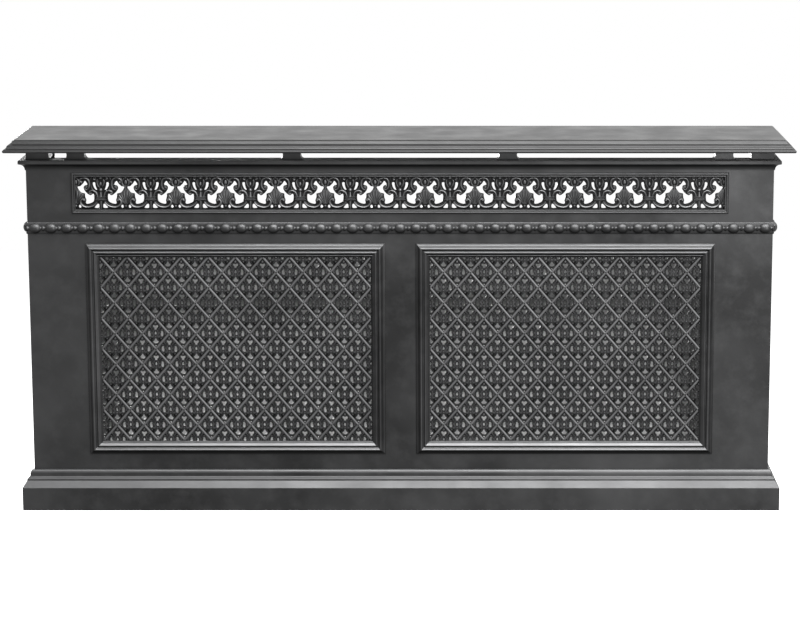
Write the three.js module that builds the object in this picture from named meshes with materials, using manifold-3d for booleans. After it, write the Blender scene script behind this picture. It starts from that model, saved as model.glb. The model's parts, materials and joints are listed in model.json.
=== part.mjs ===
// A cast-iron radiator cover: a shelf on spacers over a three-sided cabinet that stands against a wall.
// The front holds a pierced scroll frieze and two lattice grilles, each clamped behind a raised frame.
// Millimetres, +Z up. The front faces -Y, and the origin is on the floor under the middle of the shelf.

import * as THREE from 'three';
import { mergeGeometries, mergeVertices } from 'three/addons/utils/BufferGeometryUtils.js';
import Module from 'manifold-3d';

// Overall sizes
const shelfWidth = 1930;
const shelfDepth = 285;
const coverHeight = 934;
const shelfThickness = 30;
const shelfOverhang = 48;
const ventHeight = 22;
const shelfArris = 25;
const shelfNose = 4;
const shelfSkin = 10;
const shelfRib = 20;

// Castings
const wall = 6;
const ledgeDepth = 34;
const wallFlangeWidth = 26;
const dropInGap = 1;
const mitreGap = 0.4;

// Cornice, frieze, bead rail and plinth, from the top down
const corniceHeight = 26;
const corniceProjection = 16.5;
const corniceToFrieze = 5.5;
const friezeHeight = 102.5;
const friezeStile = 110.5;
const borderWidth = 10.5;
const borderRise = 6;
const borderLip = 5;
const friezeToBead = 21.5;
const beadRailHeight = 29.5;
const beadRailRise = 4;
const beadPitch = 39;
const beadRadius = 9;
const beadNeckRadius = 5;
const beadToFrame = 23;
const frameToPlinth = 38;
const plinthHeight = 101;
const plinthProjection = 27;
const plinthWall = 7;

// Panel frames and lattice grilles
const frameStile = 141;
const middleStile = 76;
const frameMoulding = 35;
const frameRise = 14;
const frameLip = 8;
const diamondWidth = 66.8;
const diamondHeight = 77.5;
const latticeBar = 6;
const lobeX = 20;
const lobeZ = 25;
const cuspX = 8;
const cuspZ = 9;

// Scroll frieze
const scrollPitch = 122.5;
const scrollHeight = 81.5;
const scrollRelief = 3.5;

// Spacers and the pegs that locate the shelf
const spacerInset = 122;
const spacerWaist = 43;
const spacerFoot = 57;
const spacerDepth = 28;
const spacerSetback = 3;
const cornerSpacerWidth = 56;
const cornerSpacerDepth = 58;
const rearSpacerDepth = 60;
const pegRadius = 5;
const pegHeight = 9;
const pegGap = 0.6;

// Fixings
const angleLeg = 40;
const angleThickness = 5;
const angleHeight = 80;
const barThickness = 4;
const barHeight = 24;
const barOverlap = 6;
const fretBarHeight = 18;
const fretBarOverlap = 4;
const boltRadius = 3;
const boltHeadRadius = 6.5;
const boltHeadHeight = 5;
const threadDepth = 4.5;
const threadGap = 0.3;

// Places that follow from the sizes above
const bodyHalf = shelfWidth / 2 - shelfOverhang;
const bodyHeight = coverHeight - shelfThickness - ventHeight;
const front = shelfOverhang - shelfDepth / 2;
const back = shelfDepth / 2;
const plateBack = front + wall;
const friezeTop = bodyHeight - corniceHeight - corniceToFrieze;
const friezeBottom = friezeTop - friezeHeight;
const beadTop = friezeBottom - friezeToBead;
const beadBottom = beadTop - beadRailHeight;
const frameTop = beadBottom - beadToFrame;
const frameBottom = plinthHeight + frameToPlinth;
const frameWidth = (2 * bodyHalf - 2 * frameStile - middleStile) / 2;
const frameHeight = frameTop - frameBottom;
const frameCentre = (middleStile + frameWidth) / 2;
const frameMiddle = (frameTop + frameBottom) / 2;
const windowHalf = frameWidth / 2 - frameMoulding + frameLip;
const windowRise = frameHeight / 2 - frameMoulding + frameLip;
const friezeHalf = bodyHalf - friezeStile;
const slotHalf = friezeHalf - borderWidth + borderLip;
const slotTop = friezeTop - borderWidth + borderLip;
const slotBottom = friezeBottom + borderWidth - borderLip;
const spacerPitch = 2 * (bodyHalf - spacerInset) / 3;

const castIron = new THREE.MeshStandardMaterial({ color: 0x4b4c4e, roughness: 0.5, metalness: 0.7 });
const darkIron = new THREE.MeshStandardMaterial({ color: 0x39393b, roughness: 0.6, metalness: 0.6 });
const blackSteel = new THREE.MeshStandardMaterial({ color: 0x2a2a2c, roughness: 0.55, metalness: 0.5 });
const zincSteel = new THREE.MeshStandardMaterial({ color: 0x9a9c9f, roughness: 0.35, metalness: 0.9 });

const wasm = await Module();
wasm.setup();

// Turns a closed geometry into a solid that can be joined and cut.
function toSolid(geometry) {
  const bare = new THREE.BufferGeometry();
  bare.setAttribute('position', geometry.getAttribute('position'));
  bare.setIndex(geometry.getIndex());
  const merged = mergeVertices(bare, 1e-4);
  return new wasm.Manifold(new wasm.Mesh({
    numProp: 3,
    vertProperties: new Float32Array(merged.attributes.position.array),
    triVerts: new Uint32Array(merged.index.array),
  }));
}

function toGeometry(solid) {
  const mesh = solid.getMesh();
  return indexedGeometry(Array.from(mesh.vertProperties), Array.from(mesh.triVerts));
}

function indexedGeometry(positions, triangles) {
  const geometry = new THREE.BufferGeometry();
  geometry.setAttribute('position', new THREE.Float32BufferAttribute(positions, 3));
  geometry.setIndex(triangles);
  geometry.computeVertexNormals();
  return geometry;
}

function join(...geometries) {
  return toGeometry(geometries.map(toSolid).reduce((all, next) => all.add(next)));
}

function cut(geometry, ...tools) {
  return toGeometry(tools.map(toSolid).reduce((rest, tool) => rest.subtract(tool), toSolid(geometry)));
}

// Drops the edges that a run of equal sections leaves across its flat faces.
function withFlatsMerged(geometry) {
  return toGeometry(toSolid(geometry).asOriginal().simplify(1e-3));
}

function box(x0, x1, y0, y1, z0, z1) {
  const geometry = new THREE.BoxGeometry(x1 - x0, y1 - y0, z1 - z0);
  return geometry.translate((x0 + x1) / 2, (y0 + y1) / 2, (z0 + z1) / 2);
}

function rectangle(x0, x1, z0, z1) {
  return [[x0, z0], [x1, z0], [x1, z1], [x0, z1]];
}

// Points on an arc, angles in degrees.
function arc(cx, cz, radius, from, to, steps) {
  return Array.from({ length: steps + 1 }, (_, i) => {
    const angle = THREE.MathUtils.degToRad(from + (to - from) * i / steps);
    return [cx + radius * Math.cos(angle), cz + radius * Math.sin(angle)];
  });
}

// Points on a quadratic curve.
function bend(start, control, end, steps) {
  const curve = new THREE.QuadraticBezierCurve(...[start, control, end].map(p => new THREE.Vector2(...p)));
  return curve.getPoints(steps).map(p => [p.x, p.y]);
}

// A profile drawn in shares of its width and height, at its real size.
function sized(points, width, height) {
  return points.map(([x, z]) => [x * width, z * height]);
}

// Counter-clockwise points, whichever way they were drawn.
function turned(points, clockwise = false) {
  const vectors = points.map(p => new THREE.Vector2(...p));
  return THREE.ShapeUtils.isClockWise(vectors) === clockwise ? vectors : vectors.reverse();
}

// A solid through rings of equal point counts. section gives the caps' flat outline, point for point, and a
// closed run has none.
function loft(rings, section) {
  const count = rings[0].length;
  const positions = rings.flat().flatMap(p => [p.x, p.y, p.z]);
  const triangles = [];
  const spans = section ? rings.length - 1 : rings.length;
  for (let i = 0; i < spans; i += 1) {
    const here = i * count;
    const there = ((i + 1) % rings.length) * count;
    for (let j = 0; j < count; j += 1) {
      const next = (j + 1) % count;
      triangles.push(here + j, here + next, there + next, here + j, there + next, there + j);
    }
  }
  if (section) {
    const last = (rings.length - 1) * count;
    const flat = section.map(p => new THREE.Vector2(...p));
    const clockwise = THREE.ShapeUtils.isClockWise(flat);
    for (const face of THREE.ShapeUtils.triangulateShape(flat, [])) {
      const [a, b, c] = clockwise ? face.reverse() : face;
      triangles.push(c, b, a, last + a, last + b, last + c);
    }
  }
  return facingOut(positions, triangles);
}

// Turns every triangle over if the solid came out inside out.
function facingOut(positions, triangles) {
  const corner = i => new THREE.Vector3(...positions.slice(3 * i, 3 * i + 3));
  let volume = 0;
  for (let i = 0; i < triangles.length; i += 3) {
    volume += corner(triangles[i]).dot(corner(triangles[i + 1]).cross(corner(triangles[i + 2])));
  }
  return indexedGeometry(positions, volume < 0 ? triangles.reverse() : triangles);
}

// A prism between two depths. outline is a list of [x, z] with no three points in line.
function prism(outline, y0, y1) {
  const section = turned(outline).map(p => [p.x, p.y]);
  return loft([y0, y1].map(y => section.map(([x, z]) => new THREE.Vector3(x, y, z))), section);
}

// An opening that narrows from a mouth in the front face to a throat in the back face, for cutting.
// The throat has one point for each corner of the mouth, or two with every second one between corners.
function funnel(mouth, throat, faceY, backY) {
  const share = throat.length / mouth.length;
  const rings = [[mouth, faceY - 1], [mouth, faceY], [throat, backY], [throat, backY + 1]];
  const positions = rings.flatMap(([ring, y]) => ring.flatMap(([x, z]) => [x, y, z]));
  const starts = [0, mouth.length, 2 * mouth.length, 2 * mouth.length + throat.length];
  const triangles = [];
  const wallBetween = (from, to, count) => {
    for (let i = 0; i < count; i += 1) {
      const next = (i + 1) % count;
      triangles.push(from + i, from + next, to + next, from + i, to + next, to + i);
    }
  };
  wallBetween(starts[0], starts[1], mouth.length);
  wallBetween(starts[2], starts[3], throat.length);
  for (let i = 0; i < mouth.length; i += 1) {
    const [corner, nextCorner] = [starts[1] + i, starts[1] + (i + 1) % mouth.length];
    const [own, nextOwn] = [share * i, (share * (i + 1)) % throat.length].map(j => starts[2] + j);
    triangles.push(corner, nextCorner, nextOwn);
    if (share === 2) triangles.push(corner, own + 1, own, corner, nextOwn, own + 1);
    else triangles.push(corner, nextOwn, own);
  }
  for (const [ring, start, flip] of [[mouth, 0, true], [throat, starts[3], false]]) {
    const vectors = ring.map(p => new THREE.Vector2(...p));
    for (const [a, b, c] of THREE.ShapeUtils.triangulateShape(vectors, [])) {
      triangles.push(...(flip ? [c, b, a] : [a, b, c]).map(i => start + i));
    }
  }
  return facingOut(positions, triangles);
}

// A flat casting between two depths. Pads stand proud of its face as far as padFace, and tools cut it.
function flatCasting(outline, faceY, backY, { pads = [], padFace, tools = [] }) {
  let casting = toSolid(prism(outline, faceY, backY));
  if (pads.length) {
    const raised = pads.map(pad => prism(pad, padFace, (faceY + backY) / 2));
    casting = casting.add(toSolid(mergeGeometries(raised)));
  }
  return toGeometry(tools.length ? casting.subtract(toSolid(mergeGeometries(tools))) : casting);
}

function straightHole(outline) {
  return prism(outline, front - 1, plateBack + 1);
}

// A picture-frame moulding round a rectangle. profile is a list of [distance in from the edge, rise].
function mitredFrame(x0, x1, z0, z1, profile) {
  const corners = [[x0, z0, 1, 1], [x1, z0, -1, 1], [x1, z1, -1, -1], [x0, z1, 1, -1]];
  return loft(corners.map(([x, z, towardsX, towardsZ]) => profile.map(([inset, rise]) =>
    new THREE.Vector3(x + towardsX * inset, front - rise, z + towardsZ * inset))));
}

// The three rails of one moulding: across the front, and along each side back to the wall, mitred between.
// section is a list of [out, z]. beads gives the sections along a run of a given length.
function railSet(name, section, beads) {
  const plain = (from, to) => [{ at: from, points: section }, { at: to, points: section }];
  const along = beads ?? plain;
  const acrossFront = along(-bodyHalf, bodyHalf);
  const frontRings = acrossFront.map(({ at, points }, i) => points.map(([out, z]) => {
    const end = i === 0 || i === acrossFront.length - 1;
    return new THREE.Vector3(end ? Math.sign(at) * (bodyHalf + out - mitreGap) : at, front - out, z);
  }));
  const rails = { front: frontRings };
  const alongSide = along(front, back);
  for (const [side, towards] of [['left', -1], ['right', 1]]) {
    rails[side] = alongSide.map(({ at, points }, i) => points.map(([out, z]) =>
      new THREE.Vector3(towards * (bodyHalf + out), i === 0 ? front - out : at, z)));
  }
  for (const [side, rings] of Object.entries(rails)) {
    const rail = loft(rings, section);
    addPiece(`${name}_${side}`, beads ? withFlatsMerged(rail) : rail, castIron);
  }
}

// A hexagon-head bolt along +Z: its head stands below z = 0, its shank above.
function bolt() {
  const head = rod(boltHeadRadius, -boltHeadHeight, 0);
  const shank = rod(boltRadius, -1, angleThickness + threadDepth);
  return join(head, shank);
}

// A six-sided rod along Z, for a bolt, a peg or the hole that one goes into.
function rod(radius, from, to) {
  const tool = new THREE.CylinderGeometry(radius, radius, to - from, 6);
  return tool.rotateX(Math.PI / 2).translate(0, 0, (from + to) / 2);
}

// Turns geometry drawn along +Z to run towards a direction, and moves it to a point.
function pointed(geometry, direction, x, y, z) {
  const turn = new THREE.Quaternion().setFromUnitVectors(new THREE.Vector3(0, 0, 1), direction);
  return geometry.applyQuaternion(turn).translate(x, y, z);
}

const towardsFront = new THREE.Vector3(0, -1, 0);
const towardsLeft = new THREE.Vector3(-1, 0, 0);
const towardsRight = new THREE.Vector3(1, 0, 0);
const sides = [['left', -1], ['right', 1]];
const outwards = towards => (towards > 0 ? towardsRight : towardsLeft);

const cover = new THREE.Group();
cover.name = 'radiator_cover';

function addPiece(name, geometry, material) {
  const mesh = new THREE.Mesh(geometry, material);
  mesh.name = name;
  cover.add(mesh);
  return mesh;
}

// Where the corner angles, their bolts and the clamp bars go.
const angleLevels = [
  ['lower', plinthHeight + angleHeight / 2],
  ['upper', friezeTop - angleHeight / 2],
];
const boltInset = wall + angleThickness + (angleLeg - angleThickness) / 2;
const barLevels = [
  ['upper', frameMiddle + windowRise - barOverlap],
  ['lower', frameMiddle - windowRise + barOverlap - barHeight],
];
const fretBarLevels = [
  ['upper', slotTop - fretBarOverlap],
  ['lower', slotBottom + fretBarOverlap - fretBarHeight],
];

function threadHole(direction, x, y, z) {
  return pointed(rod(boltRadius + threadGap, -1, threadDepth + threadGap), direction, x, y, z);
}

function clearHole(direction, x, y, z) {
  return pointed(rod(boltRadius + threadGap, -1, angleThickness + 1), direction, x, y, z);
}


// Front panel: a plate with two windows and the frieze slot, a half-round border and a ledge along the top.
function frontPanel() {
  const windowAt = centre => rectangle(centre - windowHalf, centre + windowHalf,
    frameMiddle - windowRise, frameMiddle + windowRise);
  const slot = rectangle(-slotHalf, slotHalf, slotBottom, slotTop);
  const plate = flatCasting(rectangle(-bodyHalf, bodyHalf, 0, bodyHeight), front, plateBack,
    { tools: [windowAt(-frameCentre), windowAt(frameCentre), slot].map(straightHole) });
  const half = borderWidth / 2;
  const round = arc(half, 0, half, 180, 0, 6).map(([inset, rise]) => [inset, rise * borderRise / half]);
  const border = mitredFrame(-friezeHalf, friezeHalf, friezeBottom, friezeTop, round);
  const ledgeHalf = bodyHalf - wall - dropInGap;
  const ledge = box(-ledgeHalf, ledgeHalf, plateBack - 1, front + ledgeDepth, bodyHeight - wall, bodyHeight);
  const holes = sides.flatMap(([, towards]) => angleLevels.map(([, z]) =>
    threadHole(towardsFront, towards * (bodyHalf - boltInset), plateBack, z)));
  return cut(join(plate, border, ledge), ...holes);
}
addPiece('front_panel', frontPanel(), castIron);

// Side panels: a plate behind the front panel, a flange against the wall and a ledge under the shelf.
function sidePanel(towards) {
  const slab = (in0, in1, y0, y1, z0, z1) => {
    const [a, b] = [towards * (bodyHalf - in0), towards * (bodyHalf - in1)];
    return box(Math.min(a, b), Math.max(a, b), y0, y1, z0, z1);
  };
  const plate = slab(0, wall, plateBack, back, 0, bodyHeight);
  const flange = slab(wall - 1, wall + wallFlangeWidth, back - wall, back, 0, bodyHeight);
  const ledgeFront = front + ledgeDepth + dropInGap;
  const ledge = slab(wall - 1, ledgeDepth, ledgeFront, back, bodyHeight - wall, bodyHeight);
  const holes = angleLevels.map(([, z]) =>
    threadHole(outwards(towards), towards * (bodyHalf - wall), plateBack + boltInset - wall, z));
  return cut(join(plate, flange, ledge), ...holes);
}
for (const [side, towards] of sides) addPiece(`side_panel_${side}`, sidePanel(towards), castIron);

// Cornice: a fillet, a cavetto and a square lip.
const corniceShape = sized([
  [0, 0],
  [0.12, 0],
  ...bend([0.12, 0.08], [0.21, 0.54], [0.85, 0.6], 4),
  [1, 0.65],
  [1, 0.92],
  [0.88, 1],
  [0, 1],
], corniceProjection, corniceHeight);
railSet('cornice', corniceShape.map(([out, z]) => [out, bodyHeight - corniceHeight + z]));

// Bead rail: a flat band with a string of long beads along it.
function beadSection(radius) {
  const middle = (beadTop + beadBottom) / 2;
  return [
    [0, beadBottom],
    [beadRailRise, beadBottom],
    ...arc(beadRailRise, middle, radius, -90, 90, 3),
    [beadRailRise, beadTop],
    [0, beadTop],
  ];
}
function beadRun(from, to) {
  const count = Math.round((to - from) / beadPitch);
  const pitch = (to - from) / count;
  const stations = [{ at: from, points: beadSection(beadNeckRadius) }];
  for (let i = 0; i < count; i += 1) {
    stations.push({ at: from + (i + 0.25) * pitch, points: beadSection(beadRadius) });
    stations.push({ at: from + (i + 0.75) * pitch, points: beadSection(beadRadius) });
    stations.push({ at: from + (i + 1) * pitch, points: beadSection(beadNeckRadius) });
  }
  return stations;
}
railSet('bead_rail', beadSection(beadNeckRadius), beadRun);

// Plinth: an ovolo, a step and a broad splay down to an upright face, cast hollow behind.
const plinthFace = sized([
  ...bend([0, 1], [0.31, 1], [0.35, 0.9], 3),
  [0.35, 0.83],
  [0.61, 0.78],
  [0.61, 0.74],
  [1, 0.575],
  [1, 0],
], plinthProjection, plinthHeight);
const plinthHollow = sized([[1, 0], [1, 0.54], [0.5, 0.7], [0.15, 0.78], [0, 0.84]],
  plinthProjection - plinthWall, plinthHeight);
railSet('plinth', [...plinthFace, ...plinthHollow]);

// Panel frames: a cove, a high ridge, a groove, a second bead and a drop to the lip that holds the lattice.
const frameProfile = sized([
  [0, 0],
  [0, 0.21],
  ...bend([0.06, 0.25], [0.17, 0.29], [0.23, 0.64], 2),
  ...bend([0.27, 0.79], [0.37, 1.21], [0.49, 0.71], 3),
  [0.53, 0.5],
  ...bend([0.57, 0.57], [0.66, 0.93], [0.74, 0.57], 3),
  [0.83, 0.43],
  [0.94, 0.18],
  [1, 0.14],
  [1, 0],
], frameMoulding, frameRise);
for (const [side, towards] of sides) {
  const [x, half] = [towards * frameCentre, frameWidth / 2];
  const frame = mitredFrame(x - half, x + half, frameBottom, frameTop, frameProfile);
  addPiece(`panel_frame_${side}`, frame, castIron);
}

// Lattice grilles: bars cross in a diamond net. Each diamond's field slopes down to a four-lobed opening, and
// the half diamonds along the edges, whose long sides hide under the lip, slope down to small triangles.
function lattice(centre) {
  const halfWidth = windowHalf - frameLip;
  const halfHeight = windowRise - frameLip;
  const across = Math.round(2 * halfWidth / diamondWidth);
  const high = Math.round(2 * halfHeight / diamondHeight);
  const [stepX, stepZ] = [halfWidth / across, halfHeight / high];
  const inset = latticeBar / 2 * Math.hypot(stepX, stepZ);
  const [mouthX, mouthZ] = [stepX - inset / stepZ, stepZ - inset / stepX];
  const hidden = dropInGap + 2;
  const tools = [];
  for (let i = 0; i <= 2 * across; i += 1) {
    for (let j = 0; j <= 2 * high; j += 1) {
      if ((i + j) % 2 === 0) continue;
      const x = centre - halfWidth + i * stepX;
      const z = frameMiddle - halfHeight + j * stepZ;
      const [edgeX, edgeZ] = [(i > 0) - (i < 2 * across), (j > 0) - (j < 2 * high)];
      const ends = [[1, 0], [0, 1], [-1, 0], [0, -1]].filter(([a, b]) => a * edgeX <= 0 && b * edgeZ <= 0);
      const outline = (reachX, reachZ, slide) => ends.map(([a, b]) => [
        x + a * reachX + (a === 0 ? edgeX * slide : 0), z + b * reachZ + (b === 0 ? edgeZ * slide : 0)]);
      const tips = outline(lobeX, lobeZ, 0);
      const cusps = [[1, 1], [-1, 1], [-1, -1], [1, -1]].map(([a, b]) => [x + a * cuspX, z + b * cuspZ]);
      const whole = ends.length === 4;
      const throat = whole ? tips.flatMap((tip, k) => [tip, cusps[k]])
        : outline(lobeX - cuspX, lobeZ - cuspZ, -cuspX / 2);
      tools.push(funnel(outline(mouthX, mouthZ, hidden), throat, front, plateBack));
    }
  }
  const rim = rectangle(centre - windowHalf + dropInGap, centre + windowHalf - dropInGap,
    frameMiddle - windowRise + dropInGap, frameMiddle + windowRise - dropInGap);
  return flatCasting(rim, front, plateBack, { tools });
}
for (const [side, towards] of sides) {
  addPiece(`lattice_grille_${side}`, lattice(towards * frameCentre), darkIron);
}

// Frieze fret: 13 like units. Each has a tulip on a collared stalk with scrolls either side, and shares a
// shell with the next unit. The openings and the raised pads are drawn at scrollPitch and scrollHeight, from
// the stalk's middle and the fret's lower edge.
const betweenScrolls = [
  ...arc(25.5, 39, 5.7, 205, 325, 2),
  ...arc(36, 54, 6, -35, 55, 2),
  ...arc(38.5, 64.5, 5.8, 200, 95, 2),
  [48.5, 58.5],
  [57, 56],
  [56, 51.5],
  [49, 41.5],
  [39.7, 38.5],
  [36.7, 22],
  [37, 13.6],
  [26, 13.6],
  [18, 20.5],
];
const crescent = [[13.5, 66], [19.8, 66], [18, 55], [13, 47.5], [9, 48]];
const besideStalk = [[5.5, 3], [5.5, 12.5], [16, 3]];
const collar = rectangle(-13, 13, 21.5, 31);
const tulip = [[-3, 52], [3, 52], [9, 64], [8, 75], [-8, 75], [-9, 64]];
const shell = [[-6, 14], [6, 14], [14, 31], [0, 46], [-14, 31]];
function fret() {
  const halfWidth = friezeHalf - borderWidth;
  const bottom = friezeBottom + borderWidth;
  const units = Math.round(2 * halfWidth / scrollPitch);
  const pitch = 2 * halfWidth / units;
  const [stretchX, stretchZ] = [pitch / scrollPitch, (friezeHeight - 2 * borderWidth) / scrollHeight];
  const placed = (outline, middle, mirror = 1) =>
    outline.map(([x, z]) => [middle + mirror * x * stretchX, bottom + z * stretchZ]);
  const holes = [];
  const pads = [];
  for (let i = 0; i < units; i += 1) {
    const stalk = -halfWidth + (i + 0.5) * pitch;
    for (const mirror of [-1, 1]) {
      for (const opening of [betweenScrolls, crescent, besideStalk]) {
        holes.push(placed(opening, stalk, mirror));
      }
    }
    pads.push(placed(collar, stalk), placed(tulip, stalk));
    if (i > 0) pads.push(placed(shell, stalk - pitch / 2));
  }
  const rimHalf = slotHalf - dropInGap;
  const rim = rectangle(-rimHalf, rimHalf, slotBottom + dropInGap, slotTop - dropInGap);
  const tools = holes.map(straightHole);
  return flatCasting(rim, front, plateBack, { pads, padFace: front - scrollRelief, tools });
}
addPiece('frieze_fret', fret(), darkIron);

// Spacers: waisted blocks on the front ledge, each with a peg, and plain blocks at the corners and the back.
const spacerCentres = [-1.5, -0.5, 0.5, 1.5].map(step => step * spacerPitch);
const spacerMiddle = front + spacerSetback + spacerDepth / 2;
function spacer() {
  const [flare, waist] = [(spacerFoot - spacerWaist) / 2, spacerWaist / 2];
  const lower = bend([1, 0], [0.07, 0.09], [0, 0.5], 3);
  const upper = bend([0.1, 0.68], [0.29, 0.86], [0.43, 1], 2);
  const flank = sized([...lower, ...upper], flare, ventHeight).map(([x, z]) => [waist + x, z]);
  const outline = [...flank, ...flank.map(([x, z]) => [-x, z]).reverse()];
  const block = prism(outline, -spacerDepth / 2, spacerDepth / 2);
  const peg = rod(pegRadius, ventHeight - 1, ventHeight + pegHeight);
  return join(block, peg);
}
spacerCentres.forEach((x, i) => {
  addPiece(`shelf_spacer_${i + 1}`, spacer(), castIron).position.set(x, spacerMiddle, bodyHeight);
});
for (const [side, towards] of sides) {
  const corner = box(-cornerSpacerWidth / 2, cornerSpacerWidth / 2, 0, cornerSpacerDepth, 0, ventHeight);
  addPiece(`corner_spacer_${side}`, corner, castIron)
    .position.set(towards * (bodyHalf - cornerSpacerWidth / 2), front + spacerSetback, bodyHeight);
  const rear = box(-ledgeDepth / 2, ledgeDepth / 2, -rearSpacerDepth, 0, 0, ventHeight);
  addPiece(`rear_spacer_${side}`, rear, castIron)
    .position.set(towards * (bodyHalf - ledgeDepth / 2), back, bodyHeight);
}

// Shelf: a flat slab with a stepped and rounded edge at the front and the ends. Its underside is cast hollow
// between ribs, and sockets in the solid front part take the spacers' pegs.
function shelf() {
  const steps = sized([
    [1, 0],
    ...bend([0.86, 0.07], [0.82, 0.25], [0.72, 0.33], 2),
    [0.46, 0.4],
    ...bend([0.38, 0.47], [0.36, 0.6], [0.3, 0.67], 2),
    [0.12, 0.72],
  ], shelfArris, shelfThickness);
  const nose = arc(shelfNose, shelfThickness - shelfNose, shelfNose, 240, 90, 5);
  const rings = [...steps, ...nose].map(([setback, drop]) => {
    const [x, y, z] = [shelfWidth / 2 - setback, -shelfDepth / 2 + setback, coverHeight - drop];
    return [[-x, y], [x, y], [x, back], [-x, back]].map(([px, py]) => new THREE.Vector3(px, py, z));
  });
  const slab = loft(rings, [[-1, -1], [1, -1], [1, 1], [-1, 1]]);
  const underside = coverHeight - shelfThickness;
  const endRib = bodyHalf - cornerSpacerWidth;
  const ribs = [-endRib, ...spacerCentres, endRib];
  const pockets = ribs.slice(1).map((rib, i) => box(ribs[i] + shelfRib / 2, rib - shelfRib / 2,
    front + ledgeDepth + shelfRib / 2, back - shelfRib, underside - 1, coverHeight - shelfSkin));
  const sockets = spacerCentres.map(x =>
    rod(pegRadius + pegGap, underside - 1, underside + pegHeight + 1).translate(x, spacerMiddle, 0));
  return cut(slab, ...pockets, ...sockets);
}
addPiece('shelf', shelf(), castIron);

// Corner angles and their bolts, which draw each side panel up behind the front panel.
for (const [side, towards] of sides) {
  for (const [level, z] of angleLevels) {
    const inner = bodyHalf - wall;
    const plan = [[0, 0], [-angleLeg, 0], [-angleLeg, angleThickness], [-angleThickness, angleThickness],
      [-angleThickness, angleLeg], [0, angleLeg]];
    const shape = new THREE.Shape(turned(plan.map(([x, y]) => [towards * x, y])));
    const blank = new THREE.ExtrudeGeometry(shape, { depth: angleHeight, bevelEnabled: false });
    blank.translate(towards * inner, plateBack, z - angleHeight / 2);
    const intoFront = [towardsFront, towards * (bodyHalf - boltInset), plateBack + angleThickness, z];
    const intoSide = [outwards(towards), towards * (inner - angleThickness), plateBack + boltInset - wall, z];
    addPiece(`corner_angle_${side}_${level}`,
      cut(blank, clearHole(...intoFront), clearHole(...intoSide)), blackSteel);
    addPiece(`front_bolt_${side}_${level}`, pointed(bolt(), ...intoFront), zincSteel);
    addPiece(`side_bolt_${side}_${level}`, pointed(bolt(), ...intoSide), zincSteel);
  }
}

// Flat bars behind the lattices and the frieze, which clamp them up to their lips.
function clampBar(middle, half, z, height) {
  return box(middle - half, middle + half, plateBack, plateBack + barThickness, z, z + height);
}
for (const [level, z] of barLevels) {
  for (const [side, towards] of sides) {
    const bar = clampBar(towards * frameCentre, windowHalf, z, barHeight);
    addPiece(`grille_bar_${side}_${level}`, bar, blackSteel);
  }
}
for (const [level, z] of fretBarLevels) {
  addPiece(`fret_bar_${level}`, clampBar(0, slotHalf, z, fretBarHeight), blackSteel);
}

export default cover;
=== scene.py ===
import json
import math

import bmesh
import bpy
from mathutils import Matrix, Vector


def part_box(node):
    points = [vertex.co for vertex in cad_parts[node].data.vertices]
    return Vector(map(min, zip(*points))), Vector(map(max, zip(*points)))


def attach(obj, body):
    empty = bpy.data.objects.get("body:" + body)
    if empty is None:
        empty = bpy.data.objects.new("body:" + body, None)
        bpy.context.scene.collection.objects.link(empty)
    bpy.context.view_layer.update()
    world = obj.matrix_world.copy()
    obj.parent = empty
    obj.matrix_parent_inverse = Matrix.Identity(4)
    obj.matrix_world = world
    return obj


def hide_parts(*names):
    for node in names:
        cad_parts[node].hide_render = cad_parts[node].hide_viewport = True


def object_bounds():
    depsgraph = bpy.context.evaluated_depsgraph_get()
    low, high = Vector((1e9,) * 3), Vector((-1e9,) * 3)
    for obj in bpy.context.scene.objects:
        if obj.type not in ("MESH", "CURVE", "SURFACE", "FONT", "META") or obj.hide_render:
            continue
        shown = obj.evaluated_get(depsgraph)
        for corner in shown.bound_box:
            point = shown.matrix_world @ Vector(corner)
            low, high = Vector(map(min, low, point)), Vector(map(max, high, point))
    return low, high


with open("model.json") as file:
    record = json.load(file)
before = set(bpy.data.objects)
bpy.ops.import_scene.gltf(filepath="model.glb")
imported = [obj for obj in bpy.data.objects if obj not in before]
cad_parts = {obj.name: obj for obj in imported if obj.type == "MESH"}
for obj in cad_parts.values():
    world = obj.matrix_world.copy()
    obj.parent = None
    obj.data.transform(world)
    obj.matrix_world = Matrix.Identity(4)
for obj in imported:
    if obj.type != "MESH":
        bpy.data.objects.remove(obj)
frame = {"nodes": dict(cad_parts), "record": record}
cadLow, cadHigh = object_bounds()
nodes = frame["nodes"]
slotOf = {part["node"]: part["material_slot"] for part in frame["record"]["subparts"]}
mm = 0.001  # the scene is in metres, and the drawings below are in millimetres

wall = 6.0  # thickness of the front panel
sharpFrom = 40.0  # edges that turn by more than this many degrees stay sharp
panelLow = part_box("front_panel")[0] / mm
frieze = {"low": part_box("frieze_fret")[0] / mm, "high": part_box("frieze_fret")[1] / mm}
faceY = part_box("side_panel_left")[0].y / mm - wall  # the front panel's face
backY = faceY + wall


# Curves and loops in the plane of the front, x to the right and z up

def rounded(points, steps=3, closed=True):  # a smooth line through the points
    count = len(points)
    spans = count if closed else count - 1
    line = []
    for i in range(spans):
        a, b, c, d = [points[(i + k) % count] if closed else points[min(max(i + k, 0), count - 1)]
                      for k in (-1, 0, 1, 2)]
        for step in range(steps):
            t = step / steps
            line.append(tuple(
                0.5 * (2 * q + (r - p) * t + (2 * p - 5 * q + 4 * r - s) * t * t
                       + (3 * q - p - 3 * r + s) * t ** 3)
                for p, q, r, s in zip(a, b, c, d)))
    if not closed:
        line.append(tuple(points[-1]))
    return line


def ring(x, z, radius, sides=10, stretch=1.0):
    turns = [2 * math.pi * i / sides for i in range(sides)]
    return [(x + radius * math.cos(turn), z + stretch * radius * math.sin(turn)) for turn in turns]


def shrunk(loop, shareX, shareZ):  # about its own middle
    middleX, middleZ = [sum(values) / len(loop) for values in zip(*loop)]
    return [(middleX + (x - middleX) * shareX, middleZ + (z - middleZ) * shareZ) for x, z in loop]


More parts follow.
